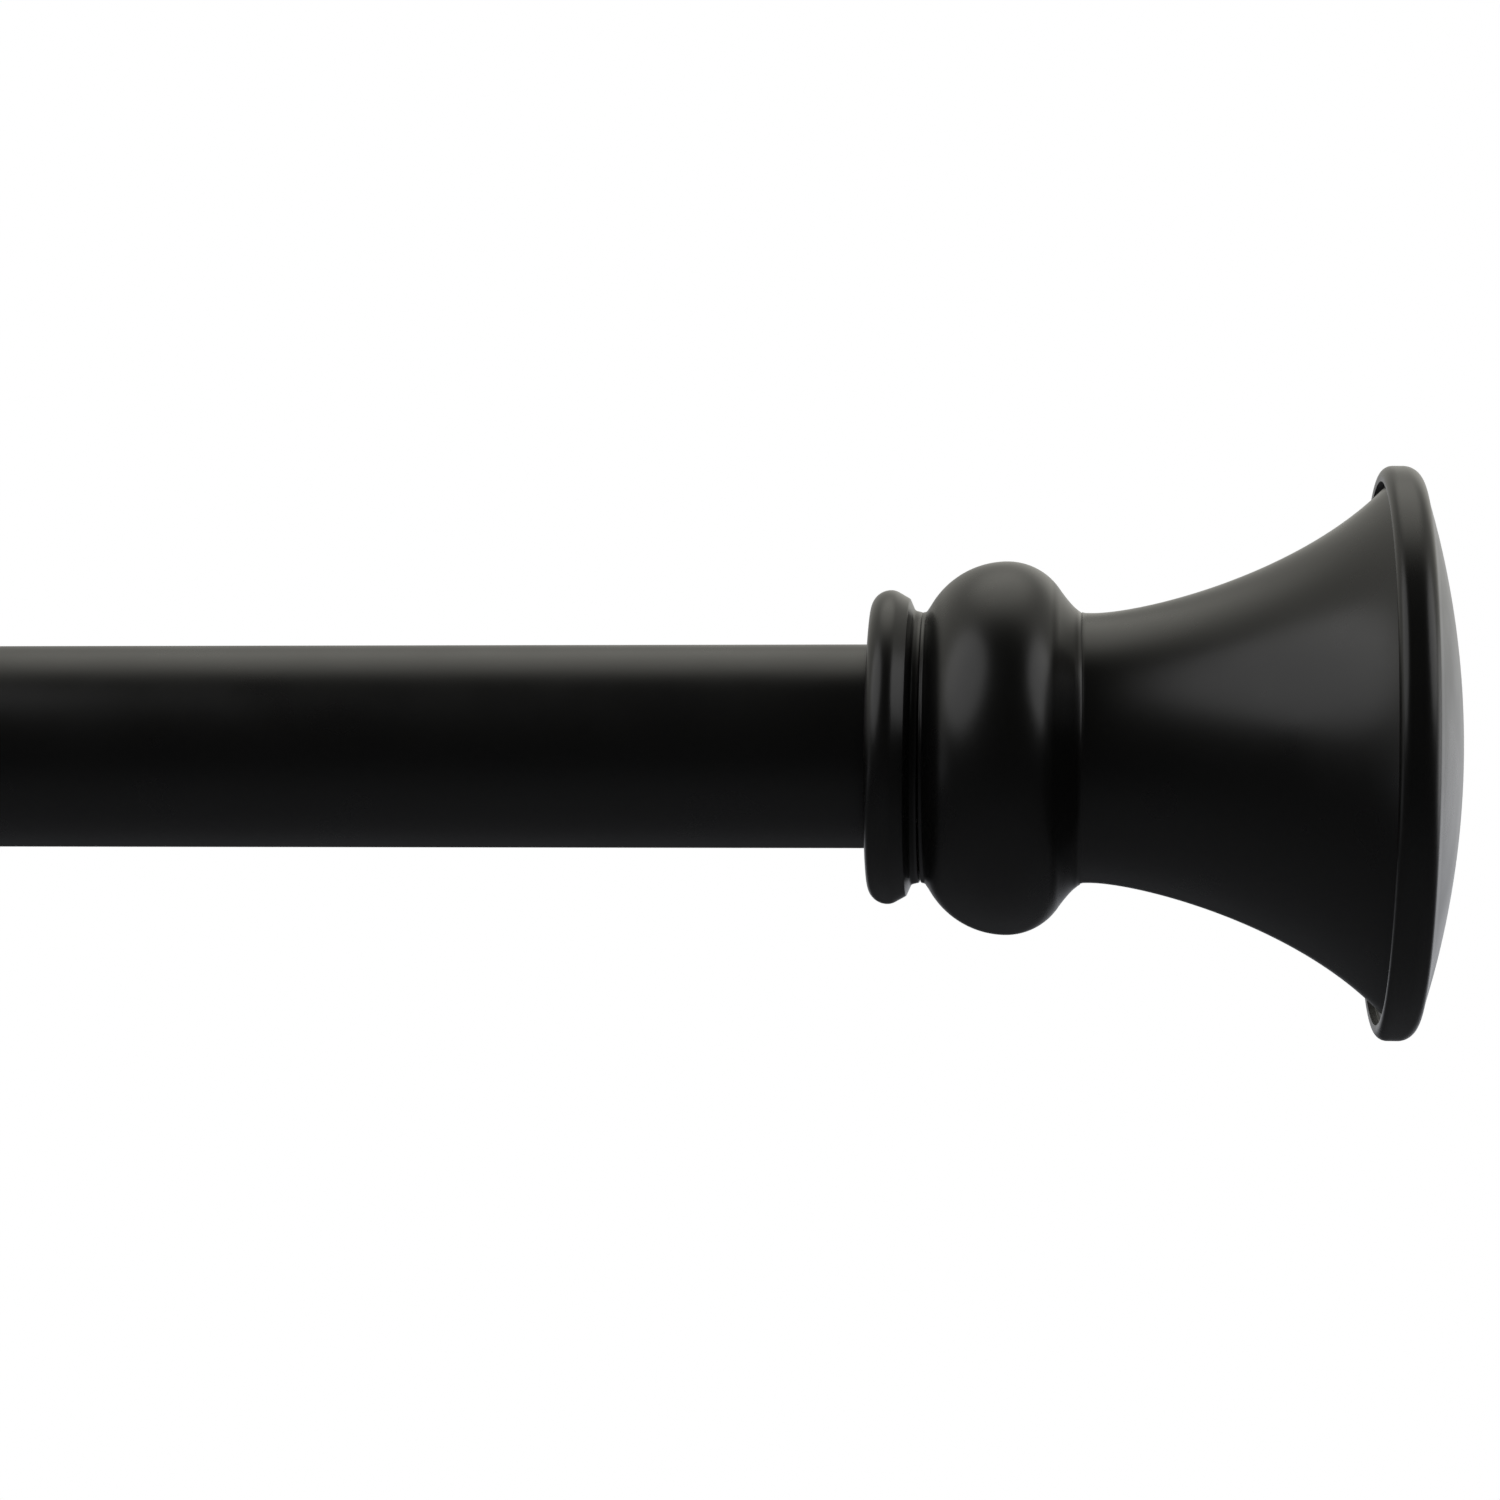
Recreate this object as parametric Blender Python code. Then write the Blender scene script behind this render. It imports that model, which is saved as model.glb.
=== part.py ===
"""Adjustable curtain rod set: a telescoping rod with trumpet finials on two wall brackets.

Frame: metres, +Z up. X runs along the rod, towards its right-hand finial. The wall is
the plane Y = 0, with the room on the -Y side. The origin is the middle of the right
wall plate's back face.
"""
import math

import bmesh
import bpy

MM = 0.001
SEGMENTS = 28                       # sides of a turned piece
FINE_GAP = 0.1 * MM                 # between a sliding piece and its guide
GAP = 0.3 * MM                      # between pieces that rest on each other

# Rod
ROD_RADIUS = 12.7 * MM              # 1 in outer tube
TUBE_WALL = 0.8 * MM
INNER_RADIUS = 11.1 * MM            # 7/8 in inner tube
CLOSED_LENGTH = 711.0 * MM          # 28 in between the finials' collars, tubes pushed in
OUTER_TUBE_LENGTH = 585.0 * MM
INNER_TUBE_LENGTH = 672.0 * MM
BUSH_FLANGE = 1.5 * MM
BUSH_DEPTH = 14.0 * MM
BORE_RADIUS = ROD_RADIUS - TUBE_WALL
INNER_BORE_RADIUS = INNER_RADIUS - TUBE_WALL

# Finial: distances from the collar's face, along the finial's own axis
DROOP = 0.8                         # degrees that the push-fit stack hangs low on the tube
SEATS = {                           # lean in degrees, and the drop in mm at a place along the axis
    "collar": (0.84, 3.0, 0.105),
    "bulb": (0.41, 17.0, 0.237),
    "bell": (0.45, 42.0, 0.33),
    "end_cap": (0.58, 65.5, 0.90),
    "screw": (DROOP, 0.0, 0.0),
    "plug": (0.0, 0.0, 0.0),
}
SOCKET_DEPTH = 3.6 * MM             # how far the tube's end goes into the collar
COLLAR_RADIUS = 19.54 * MM
COLLAR_CORNER = 2.45 * MM
COLLAR_SHOULDER = (4.4 * MM, 18.6 * MM)
GROOVE_RADIUS = 16.81 * MM
GROOVE_AT = 6.45 * MM               # the joint between the collar and the bulb
BULB_RADIUS = 23.2 * MM
BULB_AT = 17.0 * MM
BULB_LEFT_CURVE = 10.9 * MM
BULB_RIGHT_CURVE = 7.83 * MM
NECK_RADIUS = 16.74 * MM
NECK_AT = 26.2 * MM                 # the joint between the bulb and the bell
NECK_RISE = 0.12 * MM               # how much the crease still stands up at that joint
FLARE_FROM = 27.4 * MM
BELL_SCREW_PLAY = 0.25 * MM         # the bell sits a little high round the screw
MOUTH_RADIUS = 32.68 * MM
MOUTH_AT = 63.5 * MM
SHELL_WALL = 2.4 * MM               # of the hollow bell
WEB = 3.0 * MM                      # of the disc across the bell's narrow end
SPIGOT_RADIUS = 13.4 * MM
SPIGOT_LENGTH = 2.0 * MM
CAP_RADIUS = 35.4 * MM
CAP_LIP_AT = 62.5 * MM
CAP_SHOULDER_AT = 67.5 * MM
CAP_CORNER = 2.3 * MM
CAP_LIP_WALL = 1.9 * MM
CAP_TIP_AT = 72.8 * MM
CAP_SHELL = 3.0 * MM
CAP_SEAT_INSIDE = 29.4 * MM         # of the ring that sits on the bell's mouth
CAP_BOSS_RADIUS = 5.0 * MM
CAP_BOSS_END = 48.0 * MM
PLUG_DEPTH = 24.0 * MM              # of the plug inside the tube
PLUG_FLANGE = 1.0 * MM
PLUG_STUB_RADIUS = 6.0 * MM
PLUG_STUB_END = 9.6 * MM
FINIAL_SCREW_RADIUS = 2.0 * MM
FINIAL_SCREW_END = 60.0 * MM
SCREW_HEAD_AT = -1.0 * MM

# Brackets
RIGHT_SETBACK = 190.0 * MM          # from the right collar's face to the right bracket
LEFT_SETBACK = 85.0 * MM            # from the left collar's face to the left bracket
PROJECTION = 90.0 * MM              # from the wall to the rod's axis, arm pushed in
PLATE_RADIUS = 27.0 * MM
PLATE_THICKNESS = 3.0 * MM
PLATE_HOLE_RADIUS = 2.5 * MM
PLATE_HOLE_SPACING = 38.0 * MM
STUD_LENGTH = 10.0 * MM
POST_RADIUS = 8.0 * MM
POST_BORE = 6.1 * MM
POST_END = 55.0 * MM
ARM_LENGTH = 58.0 * MM
CUP_WALL = 3.0 * MM
CUP_WIDTH = 14.0 * MM
CUP_RISE = 7.0 * MM                 # of the cup's sides above the rod's axis
CUP_BORE = ROD_RADIUS + GAP
COVER_RADIUS = 31.0 * MM
COVER_DEPTH = 14.0 * MM
COVER_WALL = 1.6 * MM
SCREW_RADIUS = 2.0 * MM
SCREW_CLEARANCE = 0.3 * MM
THUMB_HEAD_RADIUS = 5.0 * MM
THUMB_HEAD_HEIGHT = 8.0 * MM
LOCK_HEAD_RADIUS = 4.0 * MM
LOCK_HEAD_HEIGHT = 4.5 * MM
PROJECTION_SCREW_AT = 47.0 * MM

RIGHT_COLLAR_X = RIGHT_SETBACK
LEFT_COLLAR_X = RIGHT_COLLAR_X - CLOSED_LENGTH
LEFT_BRACKET_X = LEFT_COLLAR_X + LEFT_SETBACK
LEFT_RAISE = ROD_RADIUS - INNER_RADIUS   # lifts the left cup up to the thinner tube
OUTER_RIGHT_END = RIGHT_COLLAR_X + SOCKET_DEPTH
OUTER_LEFT_END = OUTER_RIGHT_END - OUTER_TUBE_LENGTH
INNER_LEFT_END = LEFT_COLLAR_X - SOCKET_DEPTH
INNER_RIGHT_END = INNER_LEFT_END + INNER_TUBE_LENGTH


# ---------------------------------------------------------------- materials

def material(name, colour, roughness, metallic):
    """A plain Principled material."""
    made = bpy.data.materials.new(name)
    made.use_nodes = True
    shader = made.node_tree.nodes["Principled BSDF"]
    shader.inputs["Base Color"].default_value = (*colour, 1.0)
    shader.inputs["Roughness"].default_value = roughness
    shader.inputs["Metallic"].default_value = metallic
    made.diffuse_color = (*colour, 1.0)
    return made


# ---------------------------------------------------------------- outlines

def arc(centre, radius, start, end, steps):
    """Points on an arc, angles in degrees: 0 along the axis, 90 away from it."""
    points = []
    for step in range(steps + 1):
        angle = math.radians(start + (end - start) * step / steps)
        points.append((centre[0] + radius * math.cos(angle), centre[1] + radius * math.sin(angle)))
    return points


def bezier(start, handle_a, handle_b, end, steps):
    """Points on a cubic curve, both ends included."""
    points = []
    for step in range(steps + 1):
        t = step / steps
        s = 1.0 - t
        weights = (s ** 3, 3 * s * s * t, 3 * s * t * t, t ** 3)
        ends = (start, handle_a, handle_b, end)
        points.append(tuple(sum(w * p[i] for w, p in zip(weights, ends)) for i in range(2)))
    return points


# ---------------------------------------------------------------- mesh makers

def finish(name, mesh_data, look, sharp_angle=40.0):
    """Turn a bmesh into a shaded object of its own."""
    bmesh.ops.recalc_face_normals(mesh_data, faces=mesh_data.faces)
    mesh = bpy.data.meshes.new(name)
    mesh_data.to_mesh(mesh)
    mesh_data.free()
    mesh.shade_smooth()
    mesh.set_sharp_from_angle(angle=math.radians(sharp_angle))
    mesh.materials.append(look)
    piece = bpy.data.objects.new(name, mesh)
    bpy.context.collection.objects.link(piece)
    return piece


def turned(name, outline, look, segments=SEGMENTS):
    """Spin an outline of (along, radius) points about the X axis.

    An outline that starts and ends on the axis is left open there; any other is closed.
    """
    spun = bmesh.new()
    verts = [spun.verts.new((along, 0.0, radius)) for along, radius in outline]
    edges = [spun.edges.new(pair) for pair in zip(verts, verts[1:])]
    if outline[0][1] > 0.0:
        edges.append(spun.edges.new((verts[-1], verts[0])))
    bmesh.ops.spin(spun, geom=verts + edges, cent=(0, 0, 0), axis=(1, 0, 0),
                   angle=math.tau, steps=segments, use_merge=True)
    bmesh.ops.remove_doubles(spun, verts=spun.verts, dist=1e-6)
    return finish(name, spun, look)


def ring(inner, outer, start, end):
    """Outline of a plain sleeve."""
    return [(start, inner), (start, outer), (end, outer), (end, inner)]


def extruded(name, outline, width, look):
    """Extrude an outline in the XZ plane by width along Y, half to each side."""
    solid = bmesh.new()
    verts = [solid.verts.new((x, -width / 2, z)) for x, z in outline]
    face = solid.faces.new(verts)
    sweep = bmesh.ops.extrude_face_region(solid, geom=[face])
    moved = [item for item in sweep["geom"] if isinstance(item, bmesh.types.BMVert)]
    bmesh.ops.translate(solid, verts=moved, vec=(0.0, width, 0.0))
    return finish(name, solid, look)


def knurled(name, shank, head, look):
    """A thumb screw along X: a shank (radius, start, end), then a fluted head of the same form."""
    shank_radius, shank_start, shank_end = shank
    head_radius, head_start, head_end = head
    flutes = 12
    screw = turned(name, [(shank_start, 0.0), (shank_start, shank_radius * 0.7),
                          (shank_start + shank_radius * 0.3, shank_radius), (shank_end, shank_radius),
                          (shank_end, head_radius), (head_start, head_radius),
                          (head_end - head_radius * 0.15, head_radius),
                          (head_end, head_radius * 0.85), (head_end, 0.0)], look, segments=2 * flutes)
    for vert in screw.data.vertices:
        radius = math.hypot(vert.co.y, vert.co.z)
        turn = round(math.atan2(vert.co.z, vert.co.y) / (math.pi / flutes))
        if radius > head_radius * 0.9 and turn % 2:
            vert.co.y *= 0.9
            vert.co.z *= 0.9
    return screw


def cut(piece, cutters):
    """Subtract each cutter from piece; a cutter takes the place of the piece it cuts."""
    for cutter in cutters:
        cutter.hide_render = True
        cutter.display_type = "WIRE"
        cutter.parent = piece
        boolean = piece.modifiers.new(cutter.name, "BOOLEAN")
        boolean.operation = "DIFFERENCE"
        boolean.solver = "EXACT"
        boolean.object = cutter


def drill(name, profile, location, rotation=(0.0, 0.0, 0.0)):
    """A cutter turned from an outline of (along, radius) points."""
    cutter = turned(name, profile, bpy.data.materials["black_paint"], segments=24)
    cutter.location = location
    cutter.rotation_euler = rotation
    return cutter


def straight_drill(start, end, radius):
    """Outline of a plain round cutter."""
    return [(start, 0.0), (start, radius), (end, radius), (end, 0.0)]


# ---------------------------------------------------------------- frame empties

def joint_frame(name, location, turn_z=0.0, parent=None):
    """An empty that carries the pieces of one moving body."""
    empty = bpy.data.objects.new(name, None)
    empty.empty_display_size = 0.02
    bpy.context.collection.objects.link(empty)
    empty.location = location
    empty.rotation_euler = (0.0, 0.0, math.radians(turn_z))
    empty.parent = parent
    return empty


def hang(piece, parent, location=(0.0, 0.0, 0.0), rotation=(0.0, 0.0, 0.0)):
    """Parent a piece, in its parent's own axes."""
    piece.parent = parent
    piece.location = location
    piece.rotation_euler = rotation
    return piece


# ---------------------------------------------------------------- rod

def build_rod(rod, inner_rod, looks):
    """Outer tube and its bush on the fixed half, inner tube and its glide on the sliding half."""
    paint, plastic = looks["black_paint"], looks["black_plastic"]
    tube = ring(BORE_RADIUS, ROD_RADIUS, 0.0, OUTER_TUBE_LENGTH)
    hang(turned("outer_tube", tube, paint), rod, (OUTER_LEFT_END, 0.0, 0.0))

    sleeve_inner = INNER_RADIUS + FINE_GAP
    sleeve_outer = BORE_RADIUS - FINE_GAP
    bush = [(-GAP - BUSH_FLANGE, sleeve_inner), (-GAP - BUSH_FLANGE, ROD_RADIUS - 0.5 * MM),
            (-GAP - 0.7 * BUSH_FLANGE, ROD_RADIUS), (-GAP, ROD_RADIUS),
            (-GAP, sleeve_outer), (BUSH_DEPTH, sleeve_outer), (BUSH_DEPTH, sleeve_inner)]
    hang(turned("tube_bush", bush, plastic), rod, (OUTER_LEFT_END, 0.0, 0.0))

    thin_tube = ring(INNER_BORE_RADIUS, INNER_RADIUS, 0.0, INNER_TUBE_LENGTH)
    hang(turned("inner_tube", thin_tube, paint), inner_rod, (INNER_LEFT_END, 0.0, 0.0))

    barrel = INNER_BORE_RADIUS - FINE_GAP
    collar = BORE_RADIUS - FINE_GAP
    glide = [(-14.0 * MM, barrel - 1.8 * MM), (-14.0 * MM, barrel), (GAP, barrel), (GAP, collar),
             (5.0 * MM, collar), (6.0 * MM, collar - 1.0 * MM), (6.0 * MM, barrel - 1.8 * MM)]
    hang(turned("glide_plug", glide, plastic), inner_rod, (INNER_RIGHT_END, 0.0, 0.0))


# ---------------------------------------------------------------- finials

def collar_outline(tube_radius):
    """A ring with a rounded front edge, a socket for the tube's end and a web behind it."""
    socket = tube_radius + GAP
    web_at = SOCKET_DEPTH + GAP + PLUG_FLANGE + GAP
    back = GROOVE_AT - GAP / 2
    stub_hole = PLUG_STUB_RADIUS + GAP
    edge = arc((COLLAR_CORNER, COLLAR_RADIUS - COLLAR_CORNER), COLLAR_CORNER, 180.0, 90.0, 3)
    flank = [COLLAR_SHOULDER, (GROOVE_AT - 0.9 * MM, GROOVE_RADIUS + 0.4 * MM), (back, GROOVE_RADIUS)]
    return edge + flank + [(back, stub_hole), (web_at, stub_hole), (web_at, socket), (0.0, socket)]


def bulb_outline():
    """A hollow bulb: a web on the collar's side, a fillet down to the neck on the other."""
    front = GROOVE_AT + GAP / 2
    web_end = PLUG_STUB_END + 2.4 * MM
    stub_hole = PLUG_STUB_RADIUS + 1.5 * GAP
    screw_hole = FINIAL_SCREW_RADIUS + SCREW_CLEARANCE
    left_centre = (BULB_AT, BULB_RADIUS - BULB_LEFT_CURVE)
    foot = GROOVE_RADIUS + 0.8 * MM
    left_start = 180.0 - math.degrees(math.asin((foot - left_centre[1]) / BULB_LEFT_CURVE))
    rise = arc(left_centre, BULB_LEFT_CURVE, left_start, 90.0, 4)
    fall = arc((BULB_AT, BULB_RADIUS - BULB_RIGHT_CURVE), BULB_RIGHT_CURVE, 90.0, 34.0, 3)[1:]
    turn = fall[-1]
    slope_end = (NECK_AT - 0.75 * MM, NECK_RADIUS + 0.67 * MM)
    neck = bezier(turn, (turn[0] + 0.62 * MM, turn[1] - 0.91 * MM),
                  (slope_end[0] - 0.45 * MM, slope_end[1] + 0.38 * MM), slope_end, 3)[1:]
    neck += [(NECK_AT - 0.3 * MM, NECK_RADIUS + 0.32 * MM), (NECK_AT, NECK_RADIUS + NECK_RISE)]
    mouth = SPIGOT_RADIUS + 2 * GAP
    hollow = [(NECK_AT, mouth), (BULB_AT + 7.0 * MM, mouth), (BULB_AT + 4.5 * MM, BULB_RADIUS - 4.5 * MM),
              (BULB_AT, BULB_RADIUS - 3.0 * MM), (web_end, BULB_RADIUS - 5.5 * MM), (web_end, screw_hole)]
    stub = [(PLUG_STUB_END + GAP, screw_hole), (PLUG_STUB_END + GAP, stub_hole), (front, stub_hole)]
    return [(front, GROOVE_RADIUS)] + rise + fall + neck + hollow + stub


def flare(inset, steps):
    """The bell's curve from the neck to the mouth; inset gives the inside of its wall."""
    neck = NECK_RADIUS - inset
    mouth = MOUTH_RADIUS - inset
    return bezier((FLARE_FROM, neck), (FLARE_FROM + 6.2 * MM, neck),
                  (MOUTH_AT - 10.4 * MM, mouth - 11.0 * MM), (MOUTH_AT, mouth), steps)


def bell_outline():
    """A flared shell whose narrow end is closed by a disc with a spigot."""
    start = NECK_AT + GAP
    web_end = start + WEB
    screw_hole = FINIAL_SCREW_RADIUS + SCREW_CLEARANCE + BELL_SCREW_PLAY
    inside = [point for point in reversed(flare(SHELL_WALL, 5)) if point[0] > web_end]
    web = [(web_end, NECK_RADIUS - SHELL_WALL), (web_end, screw_hole), (start - SPIGOT_LENGTH, screw_hole),
           (start - SPIGOT_LENGTH, SPIGOT_RADIUS), (start, SPIGOT_RADIUS)]
    return [(start, NECK_RADIUS + NECK_RISE / 2)] + flare(0.0, 8) + inside + web


def end_cap_outline():
    """A domed disc with a tapped boss and a rim that reaches back round the bell's mouth."""
    lip_inside = CAP_RADIUS - CAP_LIP_WALL
    lip_round = 1.45 * MM
    floor_at = MOUTH_AT + GAP
    tapped = FINIAL_SCREW_RADIUS + SCREW_CLEARANCE
    dome_edge = CAP_RADIUS - CAP_CORNER
    sag = CAP_TIP_AT - CAP_SHOULDER_AT
    dome_curve = (dome_edge ** 2 + sag ** 2) / (2.0 * sag)
    dome_angle = math.degrees(math.asin(dome_edge / dome_curve))
    dome_centre = (CAP_TIP_AT - dome_curve, 0.0)
    inner_curve = dome_curve - CAP_SHELL
    boss_angle = math.degrees(math.asin(CAP_BOSS_RADIUS / inner_curve))
    seat_angle = math.degrees(math.asin(CAP_SEAT_INSIDE / inner_curve))
    boss = [(FINIAL_SCREW_END + 2.0 * MM, 0.0), (FINIAL_SCREW_END + 2.0 * MM, tapped),
            (CAP_BOSS_END, tapped), (CAP_BOSS_END, CAP_BOSS_RADIUS)]
    hollow = arc(dome_centre, inner_curve, boss_angle, seat_angle, 2)
    lip = [(floor_at, CAP_SEAT_INSIDE), (floor_at, lip_inside), (CAP_LIP_AT + 0.3 * MM, lip_inside)]
    lip += arc((CAP_LIP_AT + lip_round, CAP_RADIUS - lip_round), lip_round, 180.0, 90.0, 2)
    shoulder = arc((CAP_SHOULDER_AT - CAP_CORNER, dome_edge), CAP_CORNER, 90.0, 10.0, 2)
    dome = arc(dome_centre, dome_curve, dome_angle, 0.0, 4)
    return boss + hollow + lip + shoulder + dome


def plug_outline(tube_radius):
    """A ribbed push-in plug: a barrel in the tube's bore, a flange on its end and a stub."""
    bore = tube_radius - TUBE_WALL
    flange = tube_radius - 0.2 * MM
    grip = bore - FINE_GAP
    waist = grip - 0.6 * MM
    end = SOCKET_DEPTH
    ribs = []
    rib_pitch = 8.0 * MM
    for number in range(2):
        start = end - PLUG_DEPTH + 2.0 * MM + number * rib_pitch
        ribs += [(start, waist), (start + 1.0 * MM, grip), (start + 4.0 * MM, grip),
                 (start + 4.0 * MM, waist)]
    flange_end = end + GAP + PLUG_FLANGE
    hollow = FINIAL_SCREW_RADIUS * 2.0 + 0.6 * MM
    hollow_end = SCREW_HEAD_AT + GAP
    screw = FINIAL_SCREW_RADIUS + SCREW_CLEARANCE
    return ([(end - PLUG_DEPTH, hollow), (end - PLUG_DEPTH, waist - 0.5 * MM)] + ribs
            + [(end + GAP, waist), (end + GAP, flange), (flange_end, flange), (flange_end, PLUG_STUB_RADIUS),
               (PLUG_STUB_END, PLUG_STUB_RADIUS), (PLUG_STUB_END, screw), (hollow_end, screw),
               (hollow_end, hollow)])


def screw_outline():
    """A long pan-head screw: its head in the plug's hollow, its end in the cap's boss."""
    head = FINIAL_SCREW_RADIUS * 2.0
    back = SCREW_HEAD_AT - 3.0 * MM
    return [(back, 0.0), (back, head * 0.7), (back + 0.8 * MM, head), (SCREW_HEAD_AT, head),
            (SCREW_HEAD_AT, FINIAL_SCREW_RADIUS), (FINIAL_SCREW_END - 1.5 * MM, FINIAL_SCREW_RADIUS),
            (FINIAL_SCREW_END, 0.0)]


def build_finial(side, parent, tube_radius, looks):
    """One finial along its parent's +X, its collar's face at the parent's origin.

    The plug is in line with the tube; the others sit in the drooping stack as SEATS says.
    """
    paint = looks["finial_paint"]
    screw = turned(f"finial_screw_{side}", screw_outline(), looks["zinc_steel"], segments=14)
    plug = turned(f"finial_plug_{side}", plug_outline(tube_radius), looks["black_plastic"])
    pieces = {
        "collar": turned(f"finial_collar_{side}", collar_outline(tube_radius), paint),
        "bulb": turned(f"finial_bulb_{side}", bulb_outline(), paint),
        "bell": turned(f"finial_bell_{side}", bell_outline(), paint),
        "end_cap": turned(f"finial_end_cap_{side}", end_cap_outline(), paint),
        "screw": screw,
        "plug": plug,
    }
    for word, piece in pieces.items():
        lean, along, drop = SEATS[word]
        lean, along, drop = math.radians(lean), along * MM, drop * MM
        back = (along - along * math.cos(lean), 0.0, along * math.sin(lean) - drop)
        hang(piece, parent, back, (0.0, lean, 0.0))


# ---------------------------------------------------------------- brackets

def build_wall_plate(side, bracket, looks):
    """A steel disc with a stud for the post and two countersunk holes, one above the other."""
    edge = 0.6 * MM
    front = PLATE_THICKNESS
    stud = POST_BORE - FINE_GAP
    outline = [(0.0, 0.0), (0.0, PLATE_RADIUS), (front - edge, PLATE_RADIUS), (front, PLATE_RADIUS - edge),
               (front, stud), (front + STUD_LENGTH - edge, stud), (front + STUD_LENGTH, stud - edge),
               (front + STUD_LENGTH, 0.0)]
    plate = hang(turned(f"wall_plate_{side}", outline, looks["black_paint"]), bracket)
    through = [(-1.0 * MM, 0.0), (-1.0 * MM, PLATE_HOLE_RADIUS), (front - 1.8 * MM, PLATE_HOLE_RADIUS),
               (front + 1.0 * MM, PLATE_HOLE_RADIUS + 2.8 * MM), (front + 1.0 * MM, 0.0)]
    holes = []
    for place, sign in (("top", 1), ("low", -1)):
        where = (0.0, 0.0, sign * PLATE_HOLE_SPACING / 2)
        holes.append(drill(f"cut_plate_{place}_{side}", through, where))
    cut(plate, holes)


def build_post(side, bracket, looks):
    """The tube that screws on the plate's stud, with the lock screw's hole below its mouth."""
    start = PLATE_THICKNESS + GAP
    lip = 1.2 * MM
    outline = [(start, POST_BORE), (start, POST_RADIUS), (POST_END - 4.0 * MM, POST_RADIUS),
               (POST_END - 4.0 * MM, POST_RADIUS + lip), (POST_END - 0.5 * MM, POST_RADIUS + lip),
               (POST_END, POST_RADIUS + lip - 0.5 * MM), (POST_END, POST_BORE)]
    post = hang(turned(f"post_{side}", outline, looks["black_paint"]), bracket)
    hole = straight_drill(POST_BORE - 1.0 * MM, POST_RADIUS + 1.0 * MM, SCREW_RADIUS + SCREW_CLEARANCE)
    downwards = (0.0, math.pi / 2, 0.0)
    cut(post, [drill(f"cut_post_{side}", hole, (PROJECTION_SCREW_AT, 0.0, 0.0), downwards)])


def build_cover(side, parent, looks):
    """A round cover that slides on the post and hides the plate."""
    rim_height = 4.0 * MM
    hole = POST_RADIUS + GAP
    nose = hole + 3.2 * MM
    outside = [(GAP, COVER_RADIUS)]
    outside += arc((rim_height - 1.0 * MM, COVER_RADIUS - 1.0 * MM), 1.0 * MM, 90.0, 20.0, 2)
    outside += bezier((rim_height + 0.6 * MM, COVER_RADIUS - 2.6 * MM),
                      (COVER_DEPTH * 0.75, COVER_RADIUS - 3.5 * MM),
                      (COVER_DEPTH * 0.62, nose + 5.0 * MM), (COVER_DEPTH - 1.2 * MM, nose), 5)
    outside += [(COVER_DEPTH, nose - 0.8 * MM), (COVER_DEPTH, hole)]
    inside = [(COVER_DEPTH - COVER_WALL, hole), (COVER_DEPTH - COVER_WALL, nose - 0.6 * MM)]
    lining = bezier((rim_height - 0.4 * MM, COVER_RADIUS - 2.0 * MM),
                    (COVER_DEPTH * 0.68, COVER_RADIUS - 3.5 * MM),
                    (COVER_DEPTH * 0.55, nose + 5.4 * MM), (COVER_DEPTH - 2.4 * MM, nose + 1.2 * MM), 4)
    inside += [(along - 0.6 * MM, radius - COVER_WALL) for along, radius in reversed(lining)]
    inside += [(GAP, COVER_RADIUS - COVER_WALL)]
    hang(turned(f"base_cover_{side}", outside + inside, looks["black_paint"]), parent)


def cup_outline():
    """A U open at the top, in (out of the wall, up) from the rod's axis."""
    outer = CUP_BORE + CUP_WALL
    round_top = CUP_WALL / 2
    bowl = arc((0.0, 0.0), outer, 180.0, 360.0, 12)
    front_top = arc((CUP_BORE + round_top, CUP_RISE), round_top, 0.0, 180.0, 4)
    seat = arc((0.0, 0.0), CUP_BORE, 360.0, 180.0, 12)
    back_top = arc((-CUP_BORE - round_top, CUP_RISE), round_top, 0.0, 180.0, 4)
    return bowl + front_top + seat + back_top


def build_arm(side, arm, looks):
    """The sliding bar, the rod cup on its end and the screw that joins them.

    The arm's frame is on the rod's axis, in the middle of the cup.
    """
    cup_back = CUP_BORE + CUP_WALL
    bar_end = -cup_back - GAP
    bar_start = bar_end - ARM_LENGTH
    bar_radius = POST_BORE - FINE_GAP
    tapped = SCREW_RADIUS + SCREW_CLEARANCE
    tapped_end = bar_end - 13.0 * MM
    bar = [(bar_start, 0.0), (bar_start, bar_radius - 0.8 * MM), (bar_start + 0.8 * MM, bar_radius),
           (bar_end, bar_radius), (bar_end, tapped), (tapped_end, tapped), (tapped_end, 0.0)]
    hang(turned(f"arm_{side}", bar, looks["black_paint"]), arm)

    cup = hang(extruded(f"cup_{side}", cup_outline(), CUP_WIDTH, looks["black_paint"]), arm)
    head_radius = 3.7 * MM
    head_face = -CUP_BORE - 0.4 * MM
    sink_end = head_face - (head_radius - SCREW_RADIUS)
    sink = [(-cup_back - 1.0 * MM, 0.0), (-cup_back - 1.0 * MM, tapped), (sink_end - GAP, tapped),
            (head_face - GAP / 2, head_radius + GAP), (3.0 * MM - CUP_BORE, head_radius + GAP),
            (3.0 * MM - CUP_BORE, 0.0)]
    floor_hole = straight_drill(CUP_BORE - 2.0 * MM, cup_back + 2.0 * MM, tapped)
    cut(cup, [drill(f"cut_cup_back_{side}", sink, (0.0, 0.0, 0.0)),
              drill(f"cut_cup_floor_{side}", floor_hole, (0.0, 0.0, 0.0), (0.0, math.pi / 2, 0.0))])

    screw = [(bar_end - 11.0 * MM, 0.0), (bar_end - 10.0 * MM, SCREW_RADIUS), (sink_end, SCREW_RADIUS),
             (head_face, head_radius), (head_face, 0.0)]
    hang(turned(f"cup_screw_{side}", screw, looks["zinc_steel"], segments=16), arm)


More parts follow.
